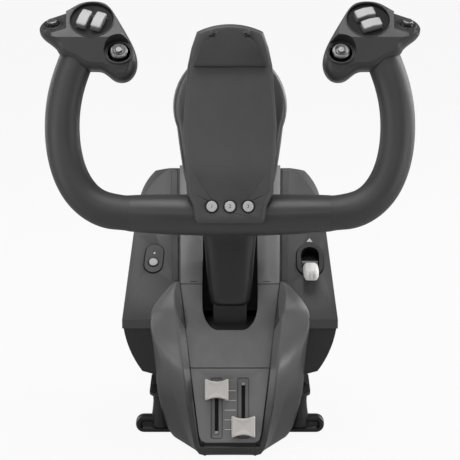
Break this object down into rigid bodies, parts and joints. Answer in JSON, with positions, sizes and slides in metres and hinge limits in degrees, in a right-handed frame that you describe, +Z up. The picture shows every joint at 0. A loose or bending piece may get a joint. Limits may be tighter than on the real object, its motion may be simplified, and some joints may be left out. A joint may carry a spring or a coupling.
{
  "type": "flight control yoke",
  "caption": "Desk-clamped flight yoke: horned wheel on a swinging column, sloped base, hanging nose with lever sliders, gear lever and menu buttons.",
  "frame": {"origin": "middle of the underside, at the level of the rubber feet that rest on the desk", "axes": "+X to the pilot's right, +Y away from the pilot, +Z up"},
  "size_m": [0.3794, 0.2586, 0.4666],
  "materials": {
    "housing_plastic": "fine moulded grain",
    "hull_plastic": "fine moulded grain",
    "cover_plastic": "satin grey",
    "nose_plastic": "fine moulded grain",
    "tube_paint": "textured powder coat",
    "grip_rubber": "soft-touch",
    "hub_plastic": "grained",
    "horn_plastic": "fine moulded grain",
    "key_plastic": "satin",
    "cap_metal": "satin silver paint",
    "knob_plastic": "warm light grey",
    "button_plastic": "satin",
    "black_plastic": "moulded",
    "steel": "brushed",
    "bearing_steel": "ground",
    "spring_steel": "drawn wire",
    "board": "solder mask",
    "pad_rubber": "moulded"
  },
  "bodies": {
    "base": {"lower_hull": "hull_plastic", "housing_left": "housing_plastic", "housing_right": "housing_plastic", "centre_cover": "cover_plastic", "nose_cowl": "nose_plastic", "nose_panel": "cover_plastic", "slider_panel": "cover_plastic", "slot_liner": "black_plastic", "chassis_plate": "steel", "pivot_brackets": "steel", "pivot_bearings": "bearing_steel", "pitch_spring": "spring_steel", "main_board": "board", "port_panel": "black_plastic", "rubber_feet": "pad_rubber", "guide_bezel": "black_plastic", "gear_bezel": "black_plastic", "slide_pots": "black_plastic"},
    "column": {"pivot_shaft": "bearing_steel", "pivot_drum": "black_plastic", "column_front": "hub_plastic", "column_back": "hub_plastic", "bearing_tube": "black_plastic", "roll_bearings": "bearing_steel", "roll_spring": "spring_steel", "sensor_board": "board"},
    "wheel": {"roll_shaft": "bearing_steel", "centre_bar": "tube_paint", "grip_left": "grip_rubber", "grip_right": "grip_rubber", "hub_cover": "hub_plastic", "hub_back": "hub_plastic", "horn_front_left": "horn_plastic", "horn_back_left": "horn_plastic", "horn_front_right": "horn_plastic", "horn_back_right": "horn_plastic"},
    "clip": {"document_clip": "hub_plastic"},
    "menu_left": {"hub_button_left": "button_plastic"},
    "menu_middle": {"hub_button_middle": "button_plastic"},
    "menu_right": {"hub_button_right": "button_plastic"},
    "key_1": {"face_key_1": "key_plastic"},
    "key_2": {"face_key_2": "key_plastic"},
    "key_3": {"face_key_3": "key_plastic"},
    "key_4": {"face_key_4": "key_plastic"},
    "thumb_left": {"thumb_button_left": "cap_metal"},
    "thumb_right": {"thumb_button_right": "cap_metal"},
    "hat_ring_left": {"hat_ring_left": "black_plastic"},
    "hat_ring_right": {"hat_ring_right": "black_plastic"},
    "hat_left": {"hat_cap_left": "cap_metal"},
    "hat_right": {"hat_cap_right": "cap_metal"},
    "slider_left": {"slider_left": "knob_plastic"},
    "slider_right": {"slider_right": "knob_plastic"},
    "gear_lever": {"gear_lever": "knob_plastic"},
    "guide_button": {"guide_button": "button_plastic"},
    "jaw_left": {"clamp_jaw_left": "steel", "jaw_pad_left": "pad_rubber"},
    "jaw_right": {"clamp_jaw_right": "steel", "jaw_pad_right": "pad_rubber"},
    "knob_left": {"clamp_knob_left": "black_plastic"},
    "knob_right": {"clamp_knob_right": "black_plastic"}
  },
  "joints": [
    {"name": "pitch", "type": "hinge", "parent": "base", "child": "column", "pos_m": [0, -0.068, 0.018], "axis": [1, 0, 0], "range_deg": [-16, 16], "stiffness_Nm_per_rad": 30},
    {"name": "roll", "type": "hinge", "parent": "column", "child": "wheel", "pos_m": [0, -0.1124, 0.2937], "axis": [0, -0.9659, 0.2588], "range_deg": [-85, 85], "stiffness_Nm_per_rad": 2.5},
    {"name": "clip_open", "type": "hinge", "parent": "wheel", "child": "clip", "pos_m": [0, -0.12378, 0.36715], "axis": [-1, 0, 0], "range_deg": [0, 20], "stiffness_Nm_per_rad": 0.3, "springref_deg": -11.46},
    {"name": "menu_left_press", "type": "slide", "parent": "wheel", "child": "menu_left", "axis": [0, 0.9659, -0.2588], "range_m": [0, 0.0008], "stiffness_N_per_m": 600, "springref_m": -0.0004},
    {"name": "menu_middle_press", "type": "slide", "parent": "wheel", "child": "menu_middle", "axis": [0, 0.9659, -0.2588], "range_m": [0, 0.0008], "stiffness_N_per_m": 600, "springref_m": -0.0004},
    {"name": "menu_right_press", "type": "slide", "parent": "wheel", "child": "menu_right", "axis": [0, 0.9659, -0.2588], "range_m": [0, 0.0008], "stiffness_N_per_m": 600, "springref_m": -0.0004},
    {"name": "key_1_press", "type": "slide", "parent": "wheel", "child": "key_1", "axis": [0, 0.6691, -0.7431], "range_m": [0, 0.0012], "stiffness_N_per_m": 600, "springref_m": -0.0004},
    {"name": "key_2_press", "type": "slide", "parent": "wheel", "child": "key_2", "axis": [0, 0.6691, -0.7431], "range_m": [0, 0.0012], "stiffness_N_per_m": 600, "springref_m": -0.0004},
    {"name": "key_3_press", "type": "slide", "parent": "wheel", "child": "key_3", "axis": [0, 0.6691, -0.7431], "range_m": [0, 0.0012], "stiffness_N_per_m": 600, "springref_m": -0.0004},
    {"name": "key_4_press", "type": "slide", "parent": "wheel", "child": "key_4", "axis": [0, 0.6691, -0.7431], "range_m": [0, 0.0012], "stiffness_N_per_m": 600, "springref_m": -0.0004},
    {"name": "thumb_left_press", "type": "slide", "parent": "wheel", "child": "thumb_left", "axis": [0.1392, 0.3549, -0.9245], "range_m": [0, 0.001], "stiffness_N_per_m": 600, "springref_m": -0.0004},
    {"name": "thumb_right_press", "type": "slide", "parent": "wheel", "child": "thumb_right", "axis": [-0.1392, 0.3549, -0.9245], "range_m": [0, 0.001], "stiffness_N_per_m": 600, "springref_m": -0.0004},
    {"name": "hat_left_sideways", "type": "hinge", "parent": "wheel", "child": "hat_ring_left", "pos_m": [-0.11, -0.11102, 0.34136], "axis": [0, 0.7193, 0.6947], "range_deg": [-12, 12], "stiffness_Nm_per_rad": 0.05},
    {"name": "hat_left_updown", "type": "hinge", "parent": "hat_ring_left", "child": "hat_left", "pos_m": [-0.11, -0.11102, 0.34136], "axis": [1, 0, 0], "range_deg": [-12, 12], "stiffness_Nm_per_rad": 0.05},
    {"name": "hat_right_sideways", "type": "hinge", "parent": "wheel", "child": "hat_ring_right", "pos_m": [0.11, -0.11102, 0.34136], "axis": [0, 0.7193, 0.6947], "range_deg": [-12, 12], "stiffness_Nm_per_rad": 0.05},
    {"name": "hat_right_updown", "type": "hinge", "parent": "hat_ring_right", "child": "hat_right", "pos_m": [0.11, -0.11102, 0.34136], "axis": [1, 0, 0], "range_deg": [-12, 12], "stiffness_Nm_per_rad": 0.05},
    {"name": "slider_left_travel", "type": "slide", "parent": "base", "child": "slider_left", "axis": [0, 0.338, 0.9412], "range_m": [-0.038, 0]},
    {"name": "slider_right_travel", "type": "slide", "parent": "base", "child": "slider_right", "axis": [0, 0.338, 0.9412], "range_m": [0, 0.038]},
    {"name": "gear_swing", "type": "hinge", "parent": "base", "child": "gear_lever", "pos_m": [0.0852, -0.03606, 0.10598], "axis": [-1, 0, 0], "range_deg": [0, 60]},
    {"name": "guide_press", "type": "slide", "parent": "base", "child": "guide_button", "axis": [0, 0.6652, -0.7466], "range_m": [0, 0.0008], "stiffness_N_per_m": 600, "springref_m": -0.0004},
    {"name": "jaw_left_slide", "type": "slide", "parent": "base", "child": "jaw_left", "axis": [0, 0, -1], "range_m": [-0.012, 0.036]},
    {"name": "knob_left_turn", "type": "hinge", "parent": "jaw_left", "child": "knob_left", "pos_m": [-0.074, -0.066, -0.05], "axis": [0, 0, 1], "range_deg": [-1446, 4326]},
    {"name": "jaw_right_slide", "type": "slide", "parent": "base", "child": "jaw_right", "axis": [0, 0, -1], "range_m": [-0.012, 0.036]},
    {"name": "knob_right_turn", "type": "hinge", "parent": "jaw_right", "child": "knob_right", "pos_m": [0.074, -0.066, -0.05], "axis": [0, 0, 1], "range_deg": [-1446, 4326]}
  ],
  "couplings": [
    {"joint": "knob_left_turn", "follows": "jaw_left_slide", "rad_per_m": 2094.4},
    {"joint": "knob_right_turn", "follows": "jaw_right_slide", "rad_per_m": 2094.4}
  ]
}
